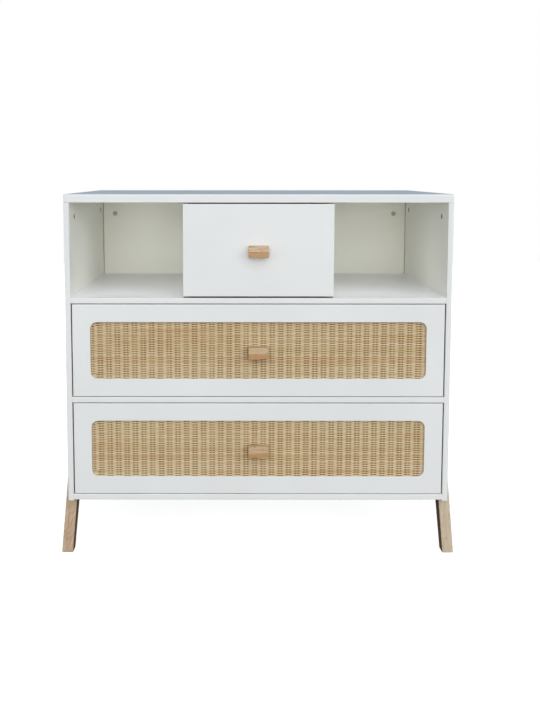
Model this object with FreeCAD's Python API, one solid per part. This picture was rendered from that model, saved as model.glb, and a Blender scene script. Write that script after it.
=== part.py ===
import FreeCAD, Part
import math
import os

Vector = FreeCAD.Vector

# Carcass, in millimetres: X across, Y from front to back, Z up from the floor
carcass_width = 1000.0
carcass_depth = 480.0
panel_thickness = 15.0
top_thickness = 22.0
tier_height = 246.0
leg_height = 151.0
side_drop = 2.0
middle_rail_depth = 80.0
top_edge_round = 4.5
top_lower_round = 1.5
top_corner_round = 6.0
side_outer_round = 4.0
panel_edge_round = 2.0

# Backs: a thick one behind the niches, a thin one behind the drawers
upper_back_thickness = 15.0
upper_back_setback = 3.0
upper_back_gap = 0.8
lower_back_thickness = 3.0
lower_back_setback = 2.5
lower_back_lap = 8.0

# Drawer fronts
front_thickness = 18.0
front_side_gap = 3.0
front_reveal = 1.75
front_edge_round = 1.5
upper_front_width = 388.5
upper_front_gap_below = 4.0
upper_front_gap_above = 3.0
partition_gap = 1.0

# Woven window of the two wide drawers
window_margin = 46.5
window_corner_round = 18.0
window_edge_round = 1.0
lip_thickness = 4.0
lip_width = 10.0
rattan_thickness = 5.0

# Drawer boxes
box_wall = 12.0
box_height = 180.0
box_lift = 12.0
box_back_room = 24.0
box_bottom_thickness = 5.0
box_bottom_height = 10.0
groove_depth = 6.0

# Ball-bearing runners
runner_gap = 12.7
runner_setback = 3.0
runner_end_room = 17.0
runner_overlap = 110.0
runner_height = 35.0
runner_sheet = 1.2
runner_bend = 1.6
cabinet_flange = 9.8
cabinet_lip = 3.0
drawer_flange = 9.5
drawer_member_height = 20.8
ball_diameter = 5.0
ball_wall_distance = 5.6
balls_per_row = 5
cage_sheet = 0.6
cage_wall_distance = 2.0
cage_width = 6.6
cage_end_room = 5.0

# Knobs: a faceted block on a round neck
knob_width = 51.0
knob_height = 29.5
knob_reach = 28.0
knob_neck_length = 5.0
knob_neck_diameter = 20.0
knob_top_depth = 14.0
knob_foot_depth = 17.0
knob_edge_round = 1.2
upper_knob_drop = 1.8
wide_knob_drop = 3.2

# Splayed legs
leg_width = 30.0
leg_depth = 35.0
leg_toe_depth = 29.0
leg_splay_degrees = 5.35
leg_lap = 9.0
leg_lap_tip = 1.2
leg_setback = 15.0
leg_edge_round = 3.0

# Cam locks and their bolts
cam_diameter = 15.0
cam_depth = 12.5
cam_recess = 0.3
cam_edge_distance = 38.0
cam_slot_width = 2.0
cam_slot_length = 8.0
cam_slot_depth = 3.0
bolt_thread_diameter = 5.0
bolt_thread_length = 10.5
bolt_shank_diameter = 6.0
bolt_neck_diameter = 4.0
bolt_head_diameter = 7.0
bolt_head_length = 3.0
cam_row_from_front = 60.0
cam_row_from_back = 60.0
back_cam_drop = 52.0
rail_cam_from_front = 45.0

# Dowels
dowel_diameter = 8.0
dowel_length = 30.0
dowel_face_depth = 10.0
dowel_chamfer = 1.0
dowel_spacing = 32.0
leg_dowel_spacing = 16.0
small_dowel_diameter = 6.0
small_dowel_length = 24.0
small_dowel_face_depth = 8.0
box_dowel_inset = 30.0

# Screws
runner_screw_diameter = 3.5
runner_screw_length = 11.0
runner_screw_head_diameter = 6.6
runner_screw_head_length = 2.0
runner_screw_inset = 35.0
back_screw_diameter = 3.0
back_screw_length = 15.0
back_screw_head_diameter = 7.0
back_screw_head_length = 1.8
back_screw_inset = 30.0
knob_screw_diameter = 4.0
knob_screw_grip = 16.0
knob_screw_head_diameter = 8.0
knob_screw_head_length = 2.6

# Fits
fit_clearance = 0.1
seat_clearance = 0.3
overrun = 5.0
match_tolerance = 0.01

# Counts and shares
back_screw_side_count = 4
back_screw_edge_count = 5
runner_screw_shares = (0.0, 0.5, 1.0)
knob_ridge_share = 0.5
leg_bore_share = 0.5

# Heights of the tiers, from the floor up
bottom_panel_z = leg_height + side_drop
lower_tier_z = bottom_panel_z + panel_thickness
middle_rail_z = lower_tier_z + tier_height
middle_tier_z = middle_rail_z + panel_thickness
shelf_z = middle_tier_z + tier_height
upper_tier_z = shelf_z + panel_thickness
top_z = upper_tier_z + tier_height

# Places across and along the carcass
half_width = carcass_width / 2
half_inside = half_width - panel_thickness
side_middle = half_width - panel_thickness / 2
front_y = -(carcass_depth - knob_reach) / 2
back_y = front_y + carcass_depth
lower_back_y = back_y - lower_back_setback - lower_back_thickness
upper_back_y = back_y - upper_back_setback - upper_back_thickness
partition_outside = upper_front_width / 2
partition_inside = partition_outside - panel_thickness
box_front_y = front_y + front_thickness
box_back_y = upper_back_y - box_back_room
runner_y = box_front_y + runner_setback
runner_length = box_back_y - runner_end_room - runner_y
runner_travel = runner_length - runner_overlap
cam_rows = (front_y + cam_row_from_front, back_y - cam_row_from_back)

right = Vector(1, 0, 0)
back = Vector(0, 1, 0)
up = Vector(0, 0, 1)

nodes = {}
bores = {}
groups = {}


# Basic shapes

def block(x0, x1, y0, y1, z0, z1):
    return Part.makeBox(x1 - x0, y1 - y0, z1 - z0, Vector(x0, y0, z0))


def rod(diameter, length, start=Vector(), direction=right):
    return Part.makeCylinder(diameter / 2, length, start, direction)


def cone(diameter, end_diameter, length, start=Vector(), direction=right):
    return Part.makeCone(diameter / 2, end_diameter / 2, length, start, direction)


def prism(points, sweep):
    outline = Part.makePolygon(points + points[:1])
    return Part.Face(outline).extrude(sweep)


def runs_along(edge, direction):
    span = edge.Vertexes[-1].Point - edge.Vertexes[0].Point
    return abs(span.dot(direction)) > edge.Length - match_tolerance


def lies_at(edge, direction, place):
    return all(abs(point.Point.dot(direction) - place) < match_tolerance for point in edge.Vertexes)


def rounded(shape, radius, wanted):
    return shape.makeFillet(radius, [edge for edge in shape.Edges if wanted(edge)])


def rounded_window(x, z0, z1, corner, y0, y1):
    return rounded(block(-x, x, y0, y1, z0, z1), corner, lambda edge: runs_along(edge, back))


def mirrored(shape, centre=Vector(), direction=right):
    return shape.mirror(centre, direction)


# A shape drawn along local X, with its open side to local Z, set at a place on the object
def placed(shape, place, along, open_side):
    across = open_side.cross(along)
    turn = FreeCAD.Matrix(along.x, across.x, open_side.x, place.x,
                          along.y, across.y, open_side.y, place.y,
                          along.z, across.z, open_side.z, place.z)
    result = shape.copy()
    result.Placement = FreeCAD.Placement(turn)
    return result


def drill(node, tool):
    bores.setdefault(node, []).append(tool)


def add(group, shape):
    groups.setdefault(group, []).append(shape)


# Fixings, each drawn along X from the plane where two panels meet

def cam_bolt():
    neck_start = cam_edge_distance - cam_diameter / 2
    head_start = cam_edge_distance - bolt_head_length / 2
    thread = rod(bolt_thread_diameter, bolt_thread_length, Vector(-bolt_thread_length, 0, 0))
    shank = rod(bolt_shank_diameter, neck_start)
    neck = rod(bolt_neck_diameter, head_start - neck_start, Vector(neck_start, 0, 0))
    head = rod(bolt_head_diameter, bolt_head_length, Vector(head_start, 0, 0))
    return thread.multiFuse([shank, neck, head]).removeSplitter()


def cam_pocket():
    face = Vector(cam_edge_distance, 0, panel_thickness / 2 + overrun)
    pocket = rod(cam_diameter, cam_depth + overrun, face, -up)
    return pocket.fuse(rod(bolt_head_diameter + 2 * seat_clearance, cam_edge_distance))


def cam_lock():
    face_z = panel_thickness / 2 - cam_recess
    body_height = cam_depth - cam_recess
    face = Vector(cam_edge_distance, 0, face_z)
    body = rod(cam_diameter - 2 * seat_clearance, body_height, face, -up)
    mouth = rod(bolt_head_diameter + 2 * seat_clearance, cam_edge_distance + bolt_head_length)
    slot_half = cam_slot_width / 2
    reach = cam_slot_length / 2
    slot_floor = face_z - cam_slot_depth
    slot_top = face_z + overrun
    middle = cam_edge_distance
    along = block(middle - reach, middle + reach, -slot_half, slot_half, slot_floor, slot_top)
    across = block(middle - slot_half, middle + slot_half, -reach, reach, slot_floor, slot_top)
    return body.cut([mouth, along, across])


def cam_joint(face_node, edge_node, place, into, open_side):
    thread_bore = rod(bolt_thread_diameter + 2 * fit_clearance, bolt_thread_length + fit_clearance,
                      Vector(-bolt_thread_length - fit_clearance, 0, 0))
    drill(face_node, placed(thread_bore, place, into, open_side))
    drill(edge_node, placed(cam_pocket(), place, into, open_side))
    add("cam_bolts", placed(cam_bolt(), place, into, open_side))
    add("cam_locks", placed(cam_lock(), place, into, open_side))


def dowel(diameter, length, face_depth):
    peg = rod(diameter, length, Vector(-face_depth, 0, 0))
    return peg.makeChamfer(dowel_chamfer, [edge for edge in peg.Edges if edge.Closed])


def dowel_joint(group, face_node, edge_node, place, into, sizes):
    diameter, length, face_depth = sizes
    bore = rod(diameter + 2 * fit_clearance, length + 2 * fit_clearance,
               Vector(-face_depth - fit_clearance, 0, 0))
    side = up if abs(into.z) < match_tolerance else right
    for node in (face_node, edge_node):
        drill(node, placed(bore, place, into, side))
    add(group, placed(dowel(diameter, length, face_depth), place, into, side))


carcass_dowel = (dowel_diameter, dowel_length, dowel_face_depth)
box_dowel = (small_dowel_diameter, small_dowel_length, small_dowel_face_depth)


def sunk_screw(diameter, length, head_diameter, head_length, clearance=0.0):
    head = cone(head_diameter + 2 * clearance, diameter + 2 * clearance, head_length)
    shank = rod(diameter + 2 * clearance, length - head_length + clearance, Vector(head_length, 0, 0))
    return head.fuse(shank)


def pan_screw(diameter, length, head_diameter, head_length):
    head = rod(head_diameter, head_length, Vector(-head_length, 0, 0))
    head = rounded(head, head_length / 2, lambda edge: edge.Closed and lies_at(edge, right, -head_length))
    return head.fuse(rod(diameter, length)).removeSplitter()


# Carcass panels

def top_panel():
    panel = block(-half_width, half_width, front_y, back_y, top_z, top_z + top_thickness)
    in_front = lambda edge: lies_at(edge, back, front_y)
    rear_rim = lambda edge: lies_at(edge, back, back_y)
    upright = lambda edge: runs_along(edge, up)
    panel = rounded(panel, top_corner_round, lambda edge: upright(edge) and in_front(edge))
    upper_rim = lambda edge: lies_at(edge, up, top_z + top_thickness) and not rear_rim(edge)
    lower_rim = lambda edge: lies_at(edge, up, top_z) and not rear_rim(edge)
    return rounded(rounded(panel, top_edge_round, upper_rim), top_lower_round, lower_rim)


def side_panel():
    panel = block(half_inside, half_width, front_y, back_y, leg_height, top_z)
    front_edge = lambda edge, x: (runs_along(edge, up) and lies_at(edge, back, front_y)
                                  and lies_at(edge, right, x))
    panel = rounded(panel, side_outer_round, lambda edge: front_edge(edge, half_width))
    panel = rounded(panel, panel_edge_round, lambda edge: front_edge(edge, half_inside))
    rebate = block(half_inside - overrun, half_inside + lower_back_lap, lower_back_y, back_y + overrun,
                   leg_height - overrun, upper_tier_z)
    return panel.cut(rebate)


def level_panel(z, depth):
    panel = block(-half_inside, half_inside, front_y, front_y + depth, z, z + panel_thickness)
    in_front = lambda edge: runs_along(edge, right) and lies_at(edge, back, front_y)
    return rounded(panel, panel_edge_round, in_front)


def lower_back():
    reach = half_inside + lower_back_lap - seat_clearance
    return block(-reach, reach, lower_back_y, lower_back_y + lower_back_thickness,
                 bottom_panel_z, upper_tier_z - seat_clearance)


def partition():
    partition_y = box_front_y + partition_gap
    return block(partition_inside, partition_outside, partition_y, upper_back_y, upper_tier_z, top_z)


# A splayed post whose outer half laps up the side panel and runs out to a thin tip
def leg():
    slope = math.tan(math.radians(leg_splay_degrees))
    lap_top = leg_height + (leg_lap - leg_lap_tip) / slope
    foot_x = half_width + leg_lap + leg_height * slope
    tip_x = half_width + leg_lap_tip
    leg_y = front_y + leg_setback
    outline = [Vector(foot_x, leg_y, 0), Vector(tip_x, leg_y, lap_top),
               Vector(tip_x - leg_width, leg_y, lap_top), Vector(foot_x - leg_width, leg_y, 0)]
    post = prism(outline, back * leg_depth)
    heel_y = leg_y + leg_toe_depth
    rear_y = leg_y + leg_depth
    taper = [Vector(0, heel_y, 0), Vector(0, rear_y, leg_height),
             Vector(0, rear_y + overrun, leg_height), Vector(0, rear_y + overrun, 0)]
    post = post.cut(prism(taper, right * carcass_width))
    top_rim = lambda edge: lies_at(edge, up, lap_top)
    shoulder_rim = lambda edge: lies_at(edge, up, leg_height)
    post = rounded(post, leg_edge_round, lambda edge: not top_rim(edge) and not shoulder_rim(edge))
    housing = block(0, half_width, front_y, back_y, leg_height, lap_top + overrun)
    return post.cut(housing)


def carcass():
    shelf_depth = lower_back_y - front_y
    middle_y = (front_y + back_y) / 2
    nodes["top_panel"] = top_panel()
    nodes["right_side_panel"] = side_panel()
    nodes["left_side_panel"] = mirrored(side_panel())
    nodes["niche_shelf"] = level_panel(shelf_z, shelf_depth)
    nodes["middle_rail"] = level_panel(middle_rail_z, middle_rail_depth)
    nodes["bottom_panel"] = level_panel(bottom_panel_z, shelf_depth)
    back_reach = half_inside - upper_back_gap
    nodes["upper_back_panel"] = block(-back_reach, back_reach, upper_back_y,
                                      upper_back_y + upper_back_thickness, upper_tier_z, top_z)
    nodes["lower_back_panel"] = lower_back()
    nodes["right_partition"] = partition()
    nodes["left_partition"] = mirrored(partition())
    for side in ("left", "right"):
        front_leg = leg() if side == "right" else mirrored(leg())
        nodes["front_%s_leg" % side] = front_leg
        nodes["rear_%s_leg" % side] = mirrored(front_leg, Vector(0, middle_y, 0), back)


# Cam locks and dowels that hold the carcass together

def carcass_fixings():
    leg_from_front = leg_setback + leg_depth * leg_bore_share
    leg_rows = (front_y + leg_from_front, back_y - leg_from_front)
    for side, sign in (("left", -1), ("right", 1)):
        side_node = side + "_side_panel"
        inward = right * -sign
        for row, toward_middle in zip(cam_rows, (1, -1)):
            beside = back * toward_middle * dowel_spacing
            top_place = Vector(sign * side_middle, row, top_z)
            cam_joint("top_panel", side_node, top_place, -up, inward)
            dowel_joint("carcass_dowels", "top_panel", side_node, top_place + beside, -up, carcass_dowel)
            for shelf_node, z in (("niche_shelf", shelf_z), ("bottom_panel", bottom_panel_z)):
                place = Vector(sign * half_inside, row, z + panel_thickness / 2)
                cam_joint(side_node, shelf_node, place, inward, -up)
                dowel_joint("carcass_dowels", side_node, shelf_node, place + beside, inward,
                            carcass_dowel)
        rail_middle = middle_rail_z + panel_thickness / 2
        rail_place = Vector(sign * half_inside, front_y + rail_cam_from_front, rail_middle)
        cam_joint(side_node, "middle_rail", rail_place, inward, -up)
        rail_dowel_place = rail_place - back * (rail_cam_from_front / 2)
        dowel_joint("carcass_dowels", side_node, "middle_rail", rail_dowel_place, inward, carcass_dowel)
        back_middle = upper_back_y + upper_back_thickness / 2
        back_place = Vector(sign * half_inside, back_middle, top_z - back_cam_drop)
        cam_joint(side_node, "upper_back_panel", back_place, inward, -back)
        back_dowel_place = Vector(sign * half_inside, back_middle, upper_tier_z + back_cam_drop)
        dowel_joint("carcass_dowels", side_node, "upper_back_panel", back_dowel_place, inward,
                    carcass_dowel)
        for corner, row, toward_middle in zip(("front", "rear"), leg_rows, (1, -1)):
            leg_node = "%s_%s_leg" % (corner, side)
            apart = back * toward_middle * (leg_dowel_spacing / 2)
            place = Vector(sign * side_middle, row, leg_height)
            cam_joint(leg_node, side_node, place + apart, up, inward)
            dowel_joint("carcass_dowels", leg_node, side_node, place - apart, up, carcass_dowel)
        partition_middle = sign * (partition_inside + panel_thickness / 2)
        for row in cam_rows:
            foot = Vector(partition_middle, row, upper_tier_z)
            head = Vector(partition_middle, row, top_z)
            dowel_joint("carcass_dowels", "niche_shelf", side + "_partition", foot, up, carcass_dowel)
            dowel_joint("carcass_dowels", "top_panel", side + "_partition", head, -up, carcass_dowel)


def spread(low, high, count):
    step = (high - low) / (count - 1)
    return [low + step * index for index in range(count)]


def back_screws():
    screw = pan_screw(back_screw_diameter, back_screw_length,
                      back_screw_head_diameter, back_screw_head_length)
    bore = rod(back_screw_diameter + 2 * fit_clearance, back_screw_length + fit_clearance)
    rear = lower_back_y + lower_back_thickness
    edge_x = half_inside + lower_back_lap / 2
    low_z = bottom_panel_z + panel_thickness / 2
    high_z = shelf_z + panel_thickness / 2
    targets = []
    for z in spread(low_z + back_screw_inset, high_z - back_screw_inset, back_screw_side_count):
        targets.append(("right_side_panel", edge_x, z))
        targets.append(("left_side_panel", -edge_x, z))
    edge_reach = half_inside - back_screw_inset
    for x in spread(-edge_reach, edge_reach, back_screw_edge_count):
        targets.append(("bottom_panel", x, low_z))
        targets.append(("niche_shelf", x, high_z))
    for node, x, z in targets:
        place = Vector(x, rear, z)
        for drilled in ("lower_back_panel", node):
            drill(drilled, placed(bore, place, -back, up))
        add("back_panel_screws", placed(screw, place, -back, up))


# Runners: sheet-steel channels, with a cage of balls rolling between the two members

def bent_sheet(points, sheet, bend, length):
    start = points[0]
    edges = []
    for corner, after in zip(points[1:-1], points[2:]):
        toward_start = (start - corner).normalize()
        toward_after = (after - corner).normalize()
        first = corner + toward_start * bend
        last = corner + toward_after * bend
        centre = first + toward_after * bend
        crown = centre + (corner - centre).normalize() * bend
        edges.append(Part.LineSegment(start if not edges else edges[-1].EndPoint, first))
        edges.append(Part.Arc(first, crown, last))
        start = last
    edges.append(Part.LineSegment(edges[-1].EndPoint, points[-1]))
    wire = Part.Wire([edge.toShape() for edge in edges])
    face = wire.makeOffset2D(sheet, join=0, fill=True, openResult=True)
    return face.extrude(back * length)


# Local X runs from the cabinet wall to the drawer, Z from the middle of the runner
def cabinet_member():
    half = runner_height / 2
    points = [Vector(cabinet_flange, runner_y, half - cabinet_lip),
              Vector(cabinet_flange, runner_y, half), Vector(0, runner_y, half),
              Vector(0, runner_y, -half), Vector(cabinet_flange, runner_y, -half),
              Vector(cabinet_flange, runner_y, -half + cabinet_lip)]
    return bent_sheet(points, runner_sheet, runner_bend, runner_length)


def drawer_member():
    half = drawer_member_height / 2
    tip = runner_gap - drawer_flange
    points = [Vector(tip, runner_y, -half), Vector(runner_gap, runner_y, -half),
              Vector(runner_gap, runner_y, half), Vector(tip, runner_y, half)]
    return bent_sheet(points, runner_sheet, runner_bend, runner_length)


ball_row_z = (runner_height / 2 - runner_sheet + drawer_member_height / 2) / 2
cage_length = runner_overlap - cage_end_room
cage_y = runner_y + (runner_length - cage_length) / 2


def ball_places():
    inset = cage_length / balls_per_row / 2
    rows = spread(cage_y + inset, cage_y + cage_length - inset, balls_per_row)
    return [Vector(ball_wall_distance, y, sign * ball_row_z) for y in rows for sign in (-1, 1)]


def ball_cage():
    half = ball_row_z + cage_sheet / 2
    far = cage_wall_distance + cage_width
    points = [Vector(far, cage_y, half), Vector(cage_wall_distance, cage_y, half),
              Vector(cage_wall_distance, cage_y, -half), Vector(far, cage_y, -half)]
    cage = bent_sheet(points, cage_sheet, 2 * cage_sheet, cage_length)
    hole = ball_diameter + 2 * fit_clearance
    below = up * (ball_diameter / 2)
    return cage.cut([rod(hole, ball_diameter, place - below, up) for place in ball_places()])


def runner_pair(name, wall_x, z, wall_nodes, box_nodes):
    screw = sunk_screw(runner_screw_diameter, runner_screw_length, runner_screw_head_diameter,
                       runner_screw_head_length)
    bore = sunk_screw(runner_screw_diameter, runner_screw_length, runner_screw_head_diameter,
                      runner_screw_head_length, fit_clearance)
    balls = [Part.makeSphere(ball_diameter / 2, place) for place in ball_places()]
    reach = runner_length - 2 * runner_screw_inset
    for wall_node, box_node, sign in zip(wall_nodes, box_nodes, (-1, 1)):
        origin = Vector(sign * wall_x, 0, z)
        inward = right * -sign

        def seated(shape):
            whole = shape if sign < 0 else mirrored(shape)
            return whole.translated(origin)

        fixed = seated(cabinet_member())
        carried = seated(drawer_member())
        for share in runner_screw_shares:
            y = runner_y + runner_screw_inset + reach * share
            wall_place = origin + inward * runner_sheet + back * y
            box_place = origin + inward * (runner_gap - runner_sheet) + back * y
            wall_bore = placed(bore, wall_place, -inward, up)
            box_bore = placed(bore, box_place, inward, up)
            fixed = fixed.cut(wall_bore)
            carried = carried.cut(box_bore)
            drill(wall_node, wall_bore)
            drill(box_node, box_bore)
            add("runner_screws", placed(screw, wall_place, -inward, up))
            add(name + "_drawer_runner_screws", placed(screw, box_place, inward, up))
        add(name + "_cabinet_runners", fixed)
        add(name + "_drawer_runners", carried)
        for shape in [ball_cage()] + balls:
            add(name + "_ball_cages", seated(shape))


# Drawers

def knob():
    half_height = knob_height / 2
    ridge_z = knob_height * knob_ridge_share - half_height
    profile = [Vector(0, -knob_neck_length, half_height),
               Vector(0, -knob_neck_length - knob_top_depth, half_height),
               Vector(0, -knob_reach, ridge_z),
               Vector(0, -knob_neck_length - knob_foot_depth, -half_height),
               Vector(0, -knob_neck_length, -half_height)]
    body = prism(profile, right * knob_width).translated(Vector(-knob_width / 2, 0, 0))
    body = rounded(body, knob_edge_round, lambda edge: not lies_at(edge, back, -knob_reach))
    neck_reach = knob_neck_length + min(knob_top_depth, knob_foot_depth)
    neck = rod(knob_neck_diameter, neck_reach, Vector(), -back)
    return body.fuse(neck).removeSplitter()


def fit_knob(name, seat_y, z, through_nodes, inside_y):
    seat = Vector(0, seat_y, z)
    head_place = Vector(0, inside_y, z)
    length = inside_y - seat_y + knob_screw_grip
    bore = rod(knob_screw_diameter + 2 * fit_clearance, length + fit_clearance, head_place, -back)
    nodes[name + "_drawer_knob"] = knob().translated(seat)
    for node in through_nodes + [name + "_drawer_knob"]:
        drill(node, bore)
    screw = pan_screw(knob_screw_diameter, length, knob_screw_head_diameter, knob_screw_head_length)
    nodes[name + "_drawer_knob_screw"] = placed(screw, head_place, -back, up)


def drawer_front(half, z0, z1):
    plate = block(-half, half, front_y, box_front_y, z0, z1)
    return rounded(plate, front_edge_round, lambda edge: lies_at(edge, back, front_y))


def window_front(name, half, z0, z1):
    plate = drawer_front(half, z0, z1)
    window_x = half - window_margin
    low = z0 + window_margin
    high = z1 - window_margin
    window = rounded_window(window_x, low, high, window_corner_round, front_y - overrun, box_front_y)
    rebate_y = front_y + lip_thickness
    rebate_corner = window_corner_round + lip_width
    rebate = rounded_window(window_x + lip_width, low - lip_width, high + lip_width, rebate_corner,
                            rebate_y, box_front_y + overrun)
    plate = plate.cut([window, rebate])
    middle_z = (z0 + z1) / 2
    outer_rim = lambda edge: abs(edge.CenterOfMass.x) > window_x + match_tolerance or (
        abs(edge.CenterOfMass.z - middle_z) > high - middle_z + match_tolerance)
    window_rim = lambda edge: lies_at(edge, back, front_y) and not outer_rim(edge)
    nodes[name + "_drawer_front"] = rounded(plate, window_edge_round, window_rim)
    fit_x = window_x + lip_width - seat_clearance
    fit_low = low - lip_width + seat_clearance
    fit_high = high + lip_width - seat_clearance
    weave_back = rebate_y + rattan_thickness
    rattan = name + "_drawer_rattan"
    backing = name + "_drawer_backing"
    nodes[rattan] = rounded_window(fit_x, fit_low, fit_high, rebate_corner, rebate_y, weave_back)
    nodes[backing] = rounded_window(fit_x, fit_low, fit_high, rebate_corner, weave_back, box_front_y)
    fit_knob(name, rebate_y, middle_z - wide_knob_drop, [rattan, backing], box_front_y)


def plain_front(name, half, z0, z1):
    nodes[name + "_drawer_front"] = drawer_front(half, z0, z1)
    knob_z = (z0 + z1) / 2 - upper_knob_drop
    fit_knob(name, front_y, knob_z, [name + "_drawer_front"], box_front_y)


def drawer_box(name, half, z):
    inside = half - box_wall
    top = z + box_height
    back_start = box_back_y - box_wall
    side = block(inside, half, box_front_y, box_back_y, z, top)
    nodes[name + "_drawer_right_side"] = side
    nodes[name + "_drawer_left_side"] = mirrored(side)
    nodes[name + "_drawer_back"] = block(-inside, inside, back_start, box_back_y, z, top)
    reach = inside + groove_depth
    bottom_z = z + box_bottom_height
    groove = block(-reach, reach, box_front_y - groove_depth, back_start + groove_depth,
                   bottom_z, bottom_z + box_bottom_thickness + seat_clearance)
    for piece in ("front", "right_side", "left_side", "back"):
        drill("%s_drawer_%s" % (name, piece), groove)
    sheet_x = reach - seat_clearance
    nodes[name + "_drawer_bottom"] = block(-sheet_x, sheet_x, box_front_y - groove_depth + seat_clearance,
                                           back_start + groove_depth - seat_clearance,
                                           bottom_z, bottom_z + box_bottom_thickness)
    dowels = name + "_drawer_dowels"
    for side_name, sign in (("left", -1), ("right", 1)):
        side_node = "%s_drawer_%s_side" % (name, side_name)
        for peg_z in (z + box_dowel_inset, top - box_dowel_inset):
            front_place = Vector(sign * (half - box_wall / 2), box_front_y, peg_z)
            dowel_joint(dowels, name + "_drawer_front", side_node, front_place, back, box_dowel)
            back_place = Vector(sign * inside, box_back_y - box_wall / 2, peg_z)
            dowel_joint(dowels, side_node, name + "_drawer_back", back_place, right * -sign, box_dowel)


def drawers():
    wide_half = half_inside - front_side_gap
    for name, tier_z in (("lower", lower_tier_z), ("middle", middle_tier_z)):
        window_front(name, wide_half, tier_z + front_reveal, tier_z + tier_height - front_reveal)
        fit_drawer(name, half_inside, tier_z, ("left_side_panel", "right_side_panel"))
    upper_low = upper_tier_z + upper_front_gap_below
    plain_front("upper", partition_outside, upper_low, top_z - upper_front_gap_above)
    fit_drawer("upper", partition_inside, upper_tier_z, ("left_partition", "right_partition"))


def fit_drawer(name, wall_x, tier_z, wall_nodes):
    box_z = tier_z + box_lift
    drawer_box(name, wall_x - runner_gap, box_z)
    box_nodes = [name + "_drawer_left_side", name + "_drawer_right_side"]
    runner_pair(name, wall_x, box_z + box_height / 2, wall_nodes, box_nodes)


carcass()
carcass_fixings()
back_screws()
drawers()

for node, tools in bores.items():
    nodes[node] = nodes[node].cut(tools)
for group, shapes in groups.items():
    nodes[group] = Part.makeCompound(shapes)

os.makedirs("parts", exist_ok=True)
for node, shape in nodes.items():
    shape.exportStep("parts/%s.step" % node)
print("%d nodes, %d solids" % (len(nodes), sum(len(shape.Solids) for shape in nodes.values())))
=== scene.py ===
import math

import bpy
from mathutils import Euler, Matrix, Vector, noise


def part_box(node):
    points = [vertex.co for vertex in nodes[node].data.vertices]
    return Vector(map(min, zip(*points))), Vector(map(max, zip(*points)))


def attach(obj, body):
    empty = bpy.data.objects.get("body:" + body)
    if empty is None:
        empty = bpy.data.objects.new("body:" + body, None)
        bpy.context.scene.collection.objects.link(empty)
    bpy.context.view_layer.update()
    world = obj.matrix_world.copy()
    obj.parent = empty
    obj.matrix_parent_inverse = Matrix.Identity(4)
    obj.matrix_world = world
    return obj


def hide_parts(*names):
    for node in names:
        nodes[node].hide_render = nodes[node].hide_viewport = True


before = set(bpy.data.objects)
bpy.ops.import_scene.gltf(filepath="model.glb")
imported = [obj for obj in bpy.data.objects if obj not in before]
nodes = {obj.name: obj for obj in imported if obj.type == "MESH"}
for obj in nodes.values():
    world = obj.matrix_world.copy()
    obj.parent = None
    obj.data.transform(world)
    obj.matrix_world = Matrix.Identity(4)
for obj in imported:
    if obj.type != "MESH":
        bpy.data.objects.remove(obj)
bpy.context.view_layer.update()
mm = 0.001
print("frame loaded:", len(nodes), "nodes")


# Helpers for the materials

noiseLow, noiseHigh = 0.3, 0.7  # most values of a noise lie between them


def hexColour(text):  # sRGB hex to the linear colour that a socket takes
    parts = [int(text[i:i + 2], 16) / 255 for i in (0, 2, 4)]
    linear = [c / 12.92 if c <= 0.04045 else ((c + 0.055) / 1.055) ** 2.4 for c in parts]
    return (*linear, 1.0)


def feed(tree, node, inputs):  # a socket takes a link from a socket or a node's first output, or a value
    for socket, source in inputs.items():
        if isinstance(source, bpy.types.Node):
            source = source.outputs[0]
        if isinstance(source, bpy.types.NodeSocket):
            tree.links.new(source, node.inputs[socket])
        else:
            node.inputs[socket].default_value = source


def addNode(tree, kind, inputs=None, stops=(), **settings):  # stops are a ramp's (position, hex)
    node = tree.nodes.new("ShaderNode" + kind)
    for name, value in settings.items():
        setattr(node, name, value)
    for index, (position, colour) in enumerate(stops):
        marks = node.color_ramp.elements
        mark = marks[index] if index < len(marks) else marks.new(position)
        mark.position = position
        mark.color = hexColour(colour)
    feed(tree, node, inputs or {})
    return node


def newMaterial(name):  # an empty material with its principled shader and its object coordinates
    material = bpy.data.materials.new(name)
    material.use_nodes = True
    tree = material.node_tree
    place = addNode(tree, "TexCoord").outputs["Object"]
    return material, tree, tree.nodes["Principled BSDF"], place


def zone(tree, place, ranges):  # 1 within these ranges of X, Y and Z, 0 elsewhere
    axes = addNode(tree, "SeparateXYZ", {"Vector": place}).outputs
    mask = 1.0
    for axis, (low, high) in ranges.items():
        middle, half = (low + high) / 2, (high - low) / 2
        near = addNode(tree, "Math", {0: axes[axis], 1: middle, 2: half}, operation="COMPARE")
        mask = addNode(tree, "Math", {0: near, 1: mask}, operation="MULTIPLY")
    return mask


# Satin lacquer, sprayed on fibreboard: an even white with a faint orange peel, drawn coarse enough to show.
# Inside the niches it is lighter and creamier, and lighter still on the shelf: painted light for the light
# and warm bounce light there. Where the drawers run it is a grey primer, kept dark as painted shade for the
# gaps around the drawers; the edges of the drawer fronts are left raw, in a brown that is also painted shade
# for the gaps, and the ends of the back are left raw

lacquer = {"coat": [(0.35, "E2E2DD"), (0.65, "E6E6E1")], "cloud": 260 * mm,
           # the niche, niche back and shelf coats are painted light; the primer and the raw brown of the
           # front edges are painted shade for the gaps
           "niche": "FDFCF3", "nicheBack": "FCFBEC", "shelf": "FDFEFF", "primerGapShade": "B4B1A5", "raw": "94805F",
           "wrap": 3.5 * mm, "rawEnd": 0.8 * mm, "edgeRoom": 1 * mm,
           "wallSkin": 0.3 * mm, "partitionSkin": 0.5 * mm, "levelSkin": 0.2 * mm,
           "peel": 2.2 * mm, "peelHeight": 0.02 * mm, "smudge": 70 * mm,
           "roughness": (0.36, 0.46), "ior": 1.5}


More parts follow.
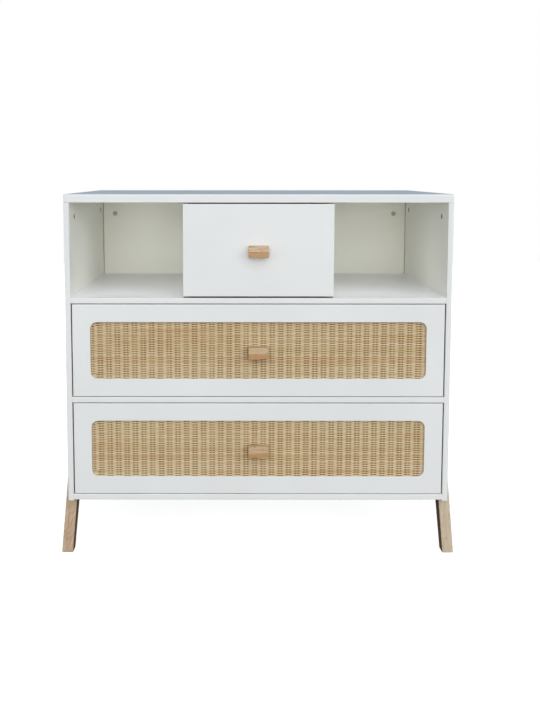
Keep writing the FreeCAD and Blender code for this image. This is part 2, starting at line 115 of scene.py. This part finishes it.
def lacquerLayers(kind):  # which part of a board has another coat than its outside
    level, room = lacquer["levelSkin"], lacquer["edgeRoom"]
    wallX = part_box("right_side_panel")[0].x + lacquer["wallSkin"]
    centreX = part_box("right_partition")[1].x - lacquer["partitionSkin"]
    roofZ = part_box("top_panel")[0].z + level
    shelfLow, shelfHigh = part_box("niche_shelf")
    backLow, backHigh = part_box("upper_back_panel")
    frontLow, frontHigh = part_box("upper_drawer_front")
    startY = frontLow.y + lacquer["wrap"]
    # painted light: the coats inside the niches, lighter still on the shelf top
    inside = {"X": (-wallX, wallX), "Y": (startY, backLow.y + room), "Z": (0, roofZ)}
    shelfTop = {**inside, "Z": (shelfHigh.z - room, shelfHigh.z + level)}
    # painted shade: the grey primer below the shelf and between the niches darkens the gaps around the
    # drawers
    belowShelf = {**inside, "Z": (0, shelfLow.z + level)}
    betweenNiches = {**inside, "X": (-centreX, centreX)}
    # painted shade: the raw brown on the edges of the drawer fronts darkens the gaps between them
    frontEdges = {**inside, "Y": (startY, frontHigh.y - room)}
    leftEnd = {"X": (backLow.x - room, backLow.x + lacquer["rawEnd"])}
    rightEnd = {"X": (backHigh.x - lacquer["rawEnd"], backHigh.x + room)}
    innerLayers = [(shelfTop, "shelf"), (belowShelf, "primerGapShade"), (betweenNiches, "primerGapShade")]
    return {"carcass": [(inside, "niche")] + innerLayers,
            "back": [(inside, "nicheBack")] + innerLayers + [(leftEnd, "raw"), (rightEnd, "raw")],
            "front": [(frontEdges, "raw")],
            "drawerBox": []}[kind]


def satinLacquer(name, kind):
    material, tree, shader, place = newMaterial(name)
    cloud = addNode(tree, "TexNoise", {"Vector": place, "Scale": 1 / lacquer["cloud"], "Detail": 2.0})
    colour = addNode(tree, "ValToRGB", {"Fac": cloud}, lacquer["coat"])
    for ranges, coat in lacquerLayers(kind):
        colour = addNode(tree, "MixRGB", {"Fac": zone(tree, place, ranges), "Color1": colour,
                                          "Color2": hexColour(lacquer[coat])})
    smudge = addNode(tree, "TexNoise", {"Vector": place, "Scale": 1 / lacquer["smudge"], "Detail": 3.0})
    low, high = lacquer["roughness"]
    rough = addNode(tree, "MapRange", {"Value": smudge, "From Min": noiseLow, "From Max": noiseHigh,
                                       "To Min": low, "To Max": high})
    peel = addNode(tree, "TexNoise", {"Vector": place, "Scale": 1 / lacquer["peel"], "Detail": 1.0})
    bump = addNode(tree, "Bump", {"Height": peel, "Distance": lacquer["peelHeight"]})
    feed(tree, shader, {"Base Color": colour, "Roughness": rough, "Normal": bump, "IOR": lacquer["ior"]})
    return material


# Solid ash, planed and matt varnished: pink-brown growth bands with thin dark lines, and fine open pores
# along the grain. The beech dowels are drawn in the same way

ash = {"bands": [(0.25, "B38E6B"), (0.42, "CFB493"), (0.47, "D5BC9E"), (0.49, "976B47"), (0.515, "CFB392"),
                 (0.62, "D7C1A4"), (0.85, "C4A483")],
       "band": 9 * mm, "bandStretch": 0.09, "bandRoughness": 0.55, "bandWarp": 0.6,
       "fibre": 1.6 * mm, "fibreStretch": 0.035, "fibreTone": (0.88, 1.06),
       "pore": 1.1 * mm, "poreStretch": 0.06, "poreColour": "8A6540", "poreDepth": 0.08 * mm,
       "poreFrom": 0.62, "poreTo": 0.72, "poreMost": 0.45,
       # the warm tint under a knob's ridge is painted light for its lower facet
       "lowerFacetPaintedLight": "ECB26F", "lowerFacetPaintedShare": 0.5, "ridgeColour": "A2632D", "ridgeWidth": 1.0 * mm,
       # the dark colour for the legs' inner faces is painted shade
       "innerPaintedShade": "59432E", "innerFrom": 0.7, "roughness": 0.7, "gloss": 0.04}


def ashWood(name, grainTurn, shift, tone=None, inward=0, ridge=None, line=False):
    material, tree, shader, place = newMaterial(name)
    along = addNode(tree, "Mapping", {"Vector": place, "Rotation": grainTurn, "Location": shift})
    grain = {}
    for layer, detail in (("band", 3.0), ("fibre", 2.0), ("pore", 1.0)):
        drawn = addNode(tree, "Mapping", {"Vector": along, "Scale": (1, 1, ash[layer + "Stretch"])})
        grain[layer] = addNode(tree, "TexNoise", {"Vector": drawn, "Scale": 1 / ash[layer], "Detail": detail})
    feed(tree, grain["band"], {"Roughness": ash["bandRoughness"], "Distortion": ash["bandWarp"]})
    wood = addNode(tree, "ValToRGB", {"Fac": grain["band"]}, ash["bands"])
    dull, bright = ash["fibreTone"]
    streak = addNode(tree, "MapRange", {"Value": grain["fibre"], "From Min": noiseLow, "From Max": noiseHigh,
                                        "To Min": dull, "To Max": bright})
    wood = addNode(tree, "MixRGB", {"Fac": 1.0, "Color1": wood, "Color2": streak}, blend_type="MULTIPLY")
    opened = addNode(tree, "MapRange", {"Value": grain["pore"],
                                        "From Min": ash["poreFrom"], "From Max": ash["poreTo"],
                                        "To Min": 0.0, "To Max": ash["poreMost"]})
    wood = addNode(tree, "MixRGB", {"Fac": opened, "Color1": wood, "Color2": hexColour(ash["poreColour"])})
    if tone:
        colour, share = tone
        wood = addNode(tree, "MixRGB", {"Fac": share, "Color1": wood, "Color2": hexColour(colour)})
    if inward:  # a leg: its face towards the middle is painted dark, painted shade for the dark under the carcass
        normal = addNode(tree, "TexCoord").outputs["Normal"]
        facing = addNode(tree, "SeparateXYZ", {"Vector": normal}).outputs["X"]
        turned = addNode(tree, "Math", {0: facing, 1: inward}, operation="MULTIPLY")
        inner = addNode(tree, "Math", {0: turned, 1: ash["innerFrom"]}, operation="GREATER_THAN")
        wood = addNode(tree, "MixRGB", {"Fac": inner, "Color1": wood, "Color2": hexColour(ash["innerPaintedShade"])})
    if ridge:  # a knob: yellower wood under its ridge, painted light for the warmer, duller light on its lower facet
        under = zone(tree, place, {"Z": (0, ridge)})
        amount = addNode(tree, "Math", {0: under, 1: ash["lowerFacetPaintedShare"]}, operation="MULTIPLY")
        wood = addNode(tree, "MixRGB", {"Fac": amount, "Color1": wood, "Color2": hexColour(ash["lowerFacetPaintedLight"])})
    if line:  # a dark line along the ridge, just below it
        seam = zone(tree, place, {"Z": (ridge - ash["ridgeWidth"], ridge)})
        wood = addNode(tree, "MixRGB", {"Fac": seam, "Color1": wood, "Color2": hexColour(ash["ridgeColour"])})
    bump = addNode(tree, "Bump", {"Height": opened, "Distance": ash["poreDepth"]}, invert=True)
    feed(tree, shader, {"Base Color": wood, "Normal": bump, "Roughness": ash["roughness"],
                        "Specular IOR Level": ash["gloss"]})
    return material


# Split rattan core, woven raw: straw-coloured strands, each of its own tone, some rows honey, with painted
# shade, brown, deep in the weave where a strand passes behind, that shows more in some patches than in others

strand = {"tones": [(0.2, "D0B481"), (0.42, "DBC499"), (0.6, "E1CBA4"), (0.85, "E6D3B1")],
          "toneLength": 160 * mm, "toneRoughness": 0.6,
          "honey": "CB9D60", "honeyLength": 420 * mm, "honeyHeight": 26 * mm, "honeyMost": 0.4,
          "honeyFrom": 0.5, "honeyTo": 0.72,
          "beltDrop": 24 * mm, "beltHeight": 13 * mm, "beltMost": 0.75,
          # the deep brown is painted shade where a strand passes behind
          "deepPaintedShade": "7E5229", "deepFrom": -0.2 * mm, "deepTo": 0.25 * mm, "deepMost": 0.95,
          "patchWidth": 26 * mm, "patchHeight": 60 * mm, "patchLeast": 0.45,
          "patchFrom": 0.36, "patchTo": 0.6, "stakeToneAndShade": "D6C9B3",
          "fibre": 0.7 * mm, "fibreHeight": 0.1 * mm, "roughness": 0.6, "gloss": 0.15}


def rattanStrand(name, pitch, start, centre, acrossAxis, alongAxis):
    material, tree, shader, place = newMaterial(name)
    axes = addNode(tree, "SeparateXYZ", {"Vector": place}).outputs
    offset = addNode(tree, "Math", {0: axes[acrossAxis], 1: start}, operation="SUBTRACT")
    row = addNode(tree, "Math", {0: offset, 1: pitch}, operation="SNAP")
    seed = addNode(tree, "TexWhiteNoise", {"W": row}, noise_dimensions="1D")
    alongStrand = addNode(tree, "CombineXYZ", {"X": axes[alongAxis], "Y": seed})
    tone = addNode(tree, "TexNoise", {"Vector": alongStrand, "Scale": 1 / strand["toneLength"], "Detail": 4.0,
                                      "Roughness": strand["toneRoughness"]})
    total = addNode(tree, "Math", {0: tone, 1: seed}, operation="ADD")
    mean = addNode(tree, "Math", {0: total, 1: 0.5}, operation="MULTIPLY")
    colour = addNode(tree, "ValToRGB", {"Fac": mean}, strand["tones"])

    # honey-coloured bands, and a belt of them a little below the middle
    spread = (1 / strand["honeyLength"], 0, 1 / strand["honeyHeight"])
    bands = addNode(tree, "Mapping", {"Vector": place, "Scale": spread})
    honey = addNode(tree, "TexNoise", {"Vector": bands, "Scale": 1.0, "Detail": 3.0})
    ripe = addNode(tree, "MapRange", {"Value": honey,
                                      "From Min": strand["honeyFrom"], "From Max": strand["honeyTo"],
                                      "To Min": 0.0, "To Max": strand["honeyMost"]})
    below = addNode(tree, "Math", {0: axes["Z"], 1: centre.z - strand["beltDrop"]}, operation="SUBTRACT")
    away = addNode(tree, "Math", {0: below}, operation="ABSOLUTE")
    belt = addNode(tree, "MapRange", {"Value": away, "From Min": 0.0, "From Max": strand["beltHeight"],
                                      "To Min": strand["beltMost"], "To Max": 0.0})
    broken = addNode(tree, "Math", {0: belt, 1: honey}, operation="MULTIPLY")
    amount = addNode(tree, "Math", {0: ripe, 1: broken}, operation="MAXIMUM")
    colour = addNode(tree, "MixRGB", {"Fac": amount, "Color1": colour, "Color2": hexColour(strand["honey"])})

    # painted shade: brown where a strand passes behind
    sunkShade = addNode(tree, "MapRange", {"Value": axes["Y"], "From Min": centre.y + strand["deepFrom"],
                                      "From Max": centre.y + strand["deepTo"],
                                      "To Min": 0.0, "To Max": strand["deepMost"]})
    spread = (1 / strand["patchWidth"], 0, 1 / strand["patchHeight"])
    patches = addNode(tree, "Mapping", {"Vector": place, "Scale": spread})
    patch = addNode(tree, "TexNoise", {"Vector": patches, "Scale": 1.0, "Detail": 2.0})
    shown = addNode(tree, "MapRange", {"Value": patch,
                                       "From Min": strand["patchFrom"], "From Max": strand["patchTo"],
                                       "To Min": strand["patchLeast"], "To Max": 1.0})
    depth = addNode(tree, "Math", {0: sunkShade, 1: shown}, operation="MULTIPLY")
    colour = addNode(tree, "MixRGB", {"Fac": depth, "Color1": colour, "Color2": hexColour(strand["deepPaintedShade"])})
    # the stakes' darker tint is partly their own tone and partly painted shade for lying between the rows
    if acrossAxis == "X":  # the stakes are darker than the rows that cross them
        tint = hexColour(strand["stakeToneAndShade"])
        colour = addNode(tree, "MixRGB", {"Fac": 1.0, "Color1": colour, "Color2": tint},
                         blend_type="MULTIPLY")

    fibre = addNode(tree, "TexNoise", {"Vector": place, "Scale": 1 / strand["fibre"], "Detail": 2.0})
    bump = addNode(tree, "Bump", {"Height": fibre, "Distance": strand["fibreHeight"]})
    feed(tree, shader, {"Base Color": colour, "Normal": bump, "Roughness": strand["roughness"],
                        "Specular IOR Level": strand["gloss"]})
    return material


# Hardboard, pressed, with a printed white face: slightly mottled. The backing's face behind the weave is left
# raw and brown

hardboard = {"white": [(0.35, "D3D3CE"), (0.6, "DDDDD9")], "raw": [(0.35, "523620"), (0.65, "6B4A2B")],
             "grain": 3 * mm, "relief": 0.03 * mm, "roughness": 0.55, "frontFrom": -0.5}


def facedHardboard(name, rawFront):
    material, tree, shader, place = newMaterial(name)
    speck = addNode(tree, "TexNoise", {"Vector": place, "Scale": 1 / hardboard["grain"], "Detail": 4.0})
    colour = addNode(tree, "ValToRGB", {"Fac": speck}, hardboard["white"])
    if rawFront:
        raw = addNode(tree, "ValToRGB", {"Fac": speck}, hardboard["raw"])
        normal = addNode(tree, "TexCoord").outputs["Normal"]
        facing = addNode(tree, "SeparateXYZ", {"Vector": normal}).outputs["Y"]
        isFront = addNode(tree, "Math", {0: facing, 1: hardboard["frontFrom"]}, operation="LESS_THAN")
        colour = addNode(tree, "MixRGB", {"Fac": isFront, "Color1": colour, "Color2": raw})
    bump = addNode(tree, "Bump", {"Height": speck, "Distance": hardboard["relief"]})
    feed(tree, shader, {"Base Color": colour, "Normal": bump, "Roughness": hardboard["roughness"]})
    return material


# Zinc-plated sheet steel, bright and slightly blue, with drawing marks along the runners; the cams are
# die-cast zinc, grainy and dull

metals = {"zincPlatedSteel": {"tones": [(0.35, "A9AFB6"), (0.65, "C9CED3")], "grain": 1.5 * mm,
                              "stretch": (1, 0.04, 1), "roughness": (0.24, 0.4), "relief": 0.01 * mm},
          "dieCastZinc": {"tones": [(0.35, "85837A"), (0.65, "B0AEA3")], "grain": 0.9 * mm,
                          "stretch": (1, 1, 1), "roughness": (0.42, 0.6), "relief": 0.05 * mm}}


def zincMetal(name):
    metal = metals[name]
    material, tree, shader, place = newMaterial(name)
    drawn = addNode(tree, "Mapping", {"Vector": place, "Scale": metal["stretch"]})
    grain = addNode(tree, "TexNoise", {"Vector": drawn, "Scale": 1 / metal["grain"], "Detail": 3.0})
    colour = addNode(tree, "ValToRGB", {"Fac": grain}, metal["tones"])
    low, high = metal["roughness"]
    rough = addNode(tree, "MapRange", {"Value": grain, "From Min": noiseLow, "From Max": noiseHigh,
                                       "To Min": high, "To Max": low})
    bump = addNode(tree, "Bump", {"Height": grain, "Distance": metal["relief"]})
    feed(tree, shader, {"Base Color": colour, "Roughness": rough, "Normal": bump, "Metallic": 1.0})
    return material


# Finishes of the pieces that come from the frame

carcassLacquer = satinLacquer("carcassLacquer", "carcass")
frontLacquer = satinLacquer("lacquerWithGapShadedEdges", "front")
backLacquer = satinLacquer("lacquerWithRawEnds", "back")
boxLacquer = satinLacquer("drawerBoxLacquer", "drawerBox")
steel = zincMetal("zincPlatedSteel")
castZinc = zincMetal("dieCastZinc")
whiteBoard = facedHardboard("whiteFacedHardboard", False)
backingBoard = facedHardboard("rawFacedBacking", True)
beech = ashWood("beechDowel", Euler((0, 0, 0)), (0.3, 0.1, 0.2))

splay = math.radians(5.35)  # the legs lean out, and their grain with them
grainTilt = 0.05  # and runs a little towards the back
plankStep = {"leg": (0.17, 0.11, 0), "knob": (0.13, 0.07, 0)}  # each is cut from another place of the plank
legs = {"front_left_leg": {"side": -1, "grainOff": -0.2, "tone": ("A58F78", 0.2)},
        "front_right_leg": {"side": 1, "grainOff": 0, "tone": ("D4CDB4", 0.4)},
        "rear_left_leg": {"side": -1, "grainOff": 0, "tone": ("EADCCB", 0.3)},
        "rear_right_leg": {"side": 1, "grainOff": 0.1, "tone": ("DAC6B0", 0.2)}}
knobs = {"upper_drawer_knob": {"tone": ("C6AB8D", 0.3), "line": True},
         "middle_drawer_knob": {"tone": ("A88B66", 0.5), "line": False},
         "lower_drawer_knob": {"tone": ("A88B66", 0.5), "line": False}}
woodOf = {}
for count, (name, leg) in enumerate(legs.items()):
    turn = Euler((grainTilt, leg["side"] * splay + leg["grainOff"], 0))
    shift = [step * count for step in plankStep["leg"]]
    woodOf[name] = ashWood("ash_" + name, turn, shift, leg["tone"], inward=-leg["side"])
for count, (name, knob) in enumerate(knobs.items()):
    low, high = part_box(name)
    turn = Euler((0, math.radians(90), 0))
    shift = [step * count for step in plankStep["knob"]]
    middle = (low.z + high.z) / 2
    woodOf[name] = ashWood("ash_" + name, turn, shift, knob["tone"], ridge=middle, line=knob["line"])


def finishOf(node):
    if node in woodOf:
        return woodOf[node]
    if node.endswith("_dowels"):
        return beech
    if node.endswith("_backing"):
        return backingBoard
    if node == "lower_back_panel" or node.endswith("_bottom"):
        return whiteBoard
    if node == "cam_locks":
        return castZinc
    if node.endswith("_front"):
        return frontLacquer
    if node == "upper_back_panel":
        return backLacquer
    if any(word in node for word in ("runner", "screw", "bolt", "cage")):
        return steel
    return boxLacquer if "_drawer_" in node else carcassLacquer


for name, node in nodes.items():
    node.data.materials.clear()
    node.data.materials.append(finishOf(name))
print("finishes set on", len(nodes), "nodes")


# Woven panels: flat upright stakes, and thin rows that lie level between them and pass over and under by
# turns. The rows are a little coarser than the real ones, so that they show

weave = {"stakePitch": 22.35 * mm, "stakeWidth": 5.2 * mm, "stakeThickness": 1.9 * mm, "stakeShift": 2.4 * mm,
         "rowPitch": 3.1 * mm, "rowHeight": 2.95 * mm, "rowThickness": 1.35 * mm, "bend": 9.6 * mm,
         "edgeRoom": 0.8 * mm, "cornerRound": 28 * mm, "screwRoom": 4.5 * mm,
         "wander": 0.35 * mm, "wanderLength": 90 * mm, "bendShare": 0.94, "bendVary": 0.08, "bendPace": 7,
         "rowSeed": 5, "stakeWander": 0.9 * mm, "stakePace": 1.7, "stakeSeed": (9, 3)}


def roundedReach(offset, half, otherHalf):  # how far a strand at this offset runs before the rounded corner
    corner = weave["cornerRound"]
    into = corner - (otherHalf - abs(offset))
    if into <= 0:
        return half
    return half - corner + math.sqrt(max(corner * corner - into * into, 0))


def strandCurve(name, width, paths):  # one curve object with a round strand along each path
    curve = bpy.data.curves.new(name, "CURVE")
    curve.dimensions = "3D"
    curve.bevel_depth = width / 2
    curve.bevel_resolution = 2
    curve.resolution_u = 2
    curve.use_fill_caps = True
    for path in paths:
        spline = curve.splines.new("NURBS")
        spline.points.add(len(path) - 1)
        for point, place in zip(spline.points, path):
            point.co = (*place, 1)
        spline.order_u = 3
        spline.use_endpoint_u = True
    return curve


def flattened(name, curve, thickness, width, centre):  # strands pressed flat, in the middle of the panel
    holder = bpy.data.objects.new(name, curve)
    bpy.context.scene.collection.objects.link(holder)
    mesh = bpy.data.meshes.new_from_object(holder.evaluated_get(bpy.context.evaluated_depsgraph_get()))
    bpy.data.objects.remove(holder)
    bpy.data.curves.remove(curve)
    mesh.transform(Matrix.Translation(centre) @ Matrix.Diagonal((1, thickness / width, 1, 1)))
    return bpy.data.objects.new(name, mesh)


def rowPath(index, z, reach, stakes, swing, seed):  # over one stake and under the next, level in between
    path = [(-reach, 0, z)]
    for count, x in enumerate(stakes):
        if abs(x) + weave["bend"] > reach:
            continue
        near = Vector((x, z, seed)) / weave["wanderLength"]
        side = -1 if (count + index) % 2 else 1
        vary = weave["bendVary"] * noise.noise(near * weave["bendPace"])  # no two bends quite alike
        depth = side * swing * (weave["bendShare"] + vary)
        height = z + weave["wander"] * noise.noise(near)
        path += [(x - weave["bend"], 0, height), (x, depth, height), (x + weave["bend"], 0, height)]
    return path + [(reach, 0, z)]


def wovenPanel(drawer):
    node = drawer + "_drawer_rattan"
    low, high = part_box(node)
    centre = (low + high) / 2
    halfX = (high.x - low.x) / 2 - weave["edgeRoom"]
    halfZ = (high.z - low.z) / 2 - weave["edgeRoom"]
    rowCount = int(2 * halfZ / weave["rowPitch"])
    stakeCount = 2 * round(halfX / weave["stakePitch"])
    panelSeed, stakeSeed = weave["stakeSeed"]
    stakes = []
    for index in range(stakeCount):
        spot = Vector((index * weave["stakePace"], centre.z * panelSeed, stakeSeed))
        drift = weave["stakeWander"] * noise.noise(spot)
        stakes.append((index - (stakeCount - 1) / 2) * weave["stakePitch"] + weave["stakeShift"] + drift)
    knobLow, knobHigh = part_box(drawer + "_drawer_knob")
    screwZ = (knobLow.z + knobHigh.z) / 2 - centre.z
    flat = weave["rowThickness"] / weave["rowHeight"]
    splineReach = 0.75  # a spline goes three quarters of the way to its outer points
    swing = (weave["stakeThickness"] + weave["rowThickness"]) / 2 / flat / splineReach
    rows = []
    for index in range(rowCount):
        z = (index - (rowCount - 1) / 2) * weave["rowPitch"]
        reach = roundedReach(z, halfX, halfZ)
        path = rowPath(index, z, reach, stakes, swing, centre.z * weave["rowSeed"])
        if abs(z - screwZ) < weave["screwRoom"]:  # the knob's screw passes between two halves of the row
            gap = weave["screwRoom"] / 2 + weave["rowHeight"] / 2
            rows.append([p for p in path if p[0] < -gap] + [(-gap, 0, z)])
            rows.append([(gap, 0, z)] + [p for p in path if p[0] > gap])
        else:
            rows.append(path)
    posts = []
    for x in stakes:
        reach = roundedReach(x, halfZ, halfX)
        posts.append([(x, 0, -reach), (x, 0, 0), (x, 0, reach)])
    firstRow = centre.z - rowCount * weave["rowPitch"] / 2
    rowFinish = rattanStrand(drawer + "RattanRows", weave["rowPitch"], firstRow, centre, "Z", "X")
    firstStake = weave["stakeShift"]
    stakeFinish = rattanStrand(drawer + "RattanStakes", weave["stakePitch"], firstStake, centre, "X", "Z")
    for kind, paths, width, thickness, finish in (
            ("rows", rows, weave["rowHeight"], weave["rowThickness"], rowFinish),
            ("stakes", posts, weave["stakeWidth"], weave["stakeThickness"], stakeFinish)):
        name = "%s_rattan_%s" % (drawer, kind)
        piece = flattened(name, strandCurve(name, width, paths), thickness, width, centre)
        piece.data.materials.append(finish)
        bpy.context.scene.collection.objects.link(piece)
        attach(piece, drawer + "_drawer")
        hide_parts(node)
        triangles = sum(len(p.vertices) - 2 for p in piece.data.polygons)
        print(name, len(paths), "strands,", triangles, "triangles")


for drawer in ("middle", "lower"):
    wovenPanel(drawer)


# Floor: white to the eye with a soft shadow, grey to the light that it throws back

floor = {"size": 12.0, "bounce": "626262", "glow": 0.8, "farGlow": 1.0, "fadeStart": 1.0, "fadeEnd": 2.6,
         "shadowTone": "B5B5B5"}


def newTree(owner):  # the empty node tree of a world or of a material without a principled shader
    owner.use_nodes = True
    owner.node_tree.nodes.clear()
    return owner.node_tree


def seenDirectly(tree):  # 1 for what the eye sees, by itself, in gloss or through glass
    rays = addNode(tree, "LightPath").outputs
    seen = addNode(tree, "Math", {0: rays["Is Camera Ray"], 1: rays["Is Glossy Ray"]}, operation="MAXIMUM")
    return addNode(tree, "Math", {0: seen, 1: rays["Is Transmission Ray"]}, operation="MAXIMUM")


def paleFloor():
    bpy.ops.mesh.primitive_plane_add(size=floor["size"])
    plane = bpy.context.object
    plane.name = "floor"
    material = bpy.data.materials.new("paleFloor")
    tree = newTree(material)
    place = addNode(tree, "TexCoord").outputs["Object"]
    away = addNode(tree, "VectorMath", {0: place}, operation="LENGTH").outputs["Value"]
    glow = addNode(tree, "MapRange", {"Value": away, "From Min": floor["fadeStart"],
                                      "From Max": floor["fadeEnd"],
                                      "To Min": floor["glow"], "To Max": floor["farGlow"]})
    shine = addNode(tree, "Emission", {"Strength": glow})
    shade = addNode(tree, "BsdfDiffuse", {"Color": hexColour(floor["shadowTone"])})
    seen = addNode(tree, "AddShader", {0: shine, 1: shade})
    bounce = addNode(tree, "BsdfDiffuse", {"Color": hexColour(floor["bounce"])})
    mixed = addNode(tree, "MixShader", {0: seenDirectly(tree), 1: bounce, 2: seen})
    addNode(tree, "OutputMaterial", {"Surface": mixed})
    plane.data.materials.append(material)


# World: white behind the object, a cool soft light all round

around = {"colour": "D6DCE2", "strength": 0.07}


def studioWorld():
    world = bpy.data.worlds.new("studio")
    bpy.context.scene.world = world
    tree = newTree(world)
    soft = addNode(tree, "Background", {"Color": hexColour(around["colour"]), "Strength": around["strength"]})
    white = addNode(tree, "Background", {"Color": hexColour("FFFFFF"), "Strength": 1.0})
    mixed = addNode(tree, "MixShader", {0: seenDirectly(tree), 1: soft, 2: white})
    addNode(tree, "OutputWorld", {"Surface": mixed})


# A blue-grey card behind the object, for the gloss of its top alone

card = {"size": (14.0, 10.0), "place": (0, 1.6, 3.5), "colour": "4095CF", "strength": 0.68}


def glossCard():
    bpy.ops.mesh.primitive_plane_add(size=1, location=card["place"], rotation=(math.radians(90), 0, 0))
    plane = bpy.context.object
    plane.name = "glossCard"
    plane.scale = (*card["size"], 1)
    material = bpy.data.materials.new("glossCard")
    tree = newTree(material)
    glow = addNode(tree, "Emission", {"Color": hexColour(card["colour"]), "Strength": card["strength"]})
    addNode(tree, "OutputMaterial", {"Surface": glow})
    plane.data.materials.append(material)
    for kind in ("camera", "diffuse", "transmission", "volume_scatter", "shadow"):
        setattr(plane, "visible_" + kind, False)


# Lamps: one big soft light from the front, a little right and above, two from the front corners that reach
# the walls of the niches, a weak fill, and some for the sides and the back

lampColour = "F6F9FF"
lampAim = (0, 0, 0.6)
lamps = {"sky": {"place": (0.9, -6.4, 5.3), "spread": 80, "power": 2.38},
         "fill": {"place": (-0.3, -4.2, 0.7), "size": (3.0, 1.2), "power": 20},
         "frontLeft": {"place": (-3.2, -3.2, 1.8), "size": (1.6, 1.6), "power": 22},
         "frontRight": {"place": (3.2, -3.2, 1.8), "size": (1.6, 1.6), "power": 33},
         "left": {"place": (-4.5, 0.2, 0.9), "size": (2.0, 1.4), "power": 50},
         "right": {"place": (4.5, 0.2, 0.9), "size": (2.0, 1.4), "power": 50},
         "rear": {"place": (0, 4.5, 0.9), "size": (3.0, 1.4), "power": 150}}


def studioLamps():
    for name, lamp in lamps.items():
        light = bpy.data.lights.new(name, "SUN" if "spread" in lamp else "AREA")
        if "spread" in lamp:
            light.angle = math.radians(lamp["spread"])
        else:
            light.shape = "RECTANGLE"
            light.size, light.size_y = lamp["size"]
        light.energy = lamp["power"]
        light.color = hexColour(lampColour)[:3]
        holder = bpy.data.objects.new(name, light)
        holder.location = lamp["place"]
        aim = Vector(lampAim) - Vector(lamp["place"])
        holder.rotation_euler = aim.to_track_quat("-Z", "Y").to_euler()
        holder.visible_glossy = name != "rear"  # it would flare on the top
        bpy.context.scene.collection.objects.link(holder)


# Camera: a little left of the middle and just above the top, as the photograph was taken

view = {"place": (-0.0541, -2.0272, 1.0050), "pitch": 4.299, "yaw": 0.086, "roll": -0.015,
        "focal": 705.63, "centre": (236.40, 228.70), "image": (540, 720)}  # the last three in pixels


def photoCamera():
    camera = bpy.data.cameras.new("camera")
    width, height = view["image"]
    camera.sensor_width = 36
    camera.lens = view["focal"] / height * camera.sensor_width
    camera.shift_x = (width / 2 - view["centre"][0]) / height
    camera.shift_y = (view["centre"][1] - height / 2) / height
    holder = bpy.data.objects.new("camera", camera)
    holder.location = view["place"]
    holder.rotation_euler = [math.radians(a) for a in (90 - view["pitch"], view["roll"], view["yaw"])]
    bpy.context.scene.collection.objects.link(holder)
    bpy.context.scene.camera = holder


paleFloor()
glossCard()
studioWorld()
studioLamps()
photoCamera()
bpy.context.scene.view_settings.view_transform = "Standard"
print("stage, lamps and camera ready")
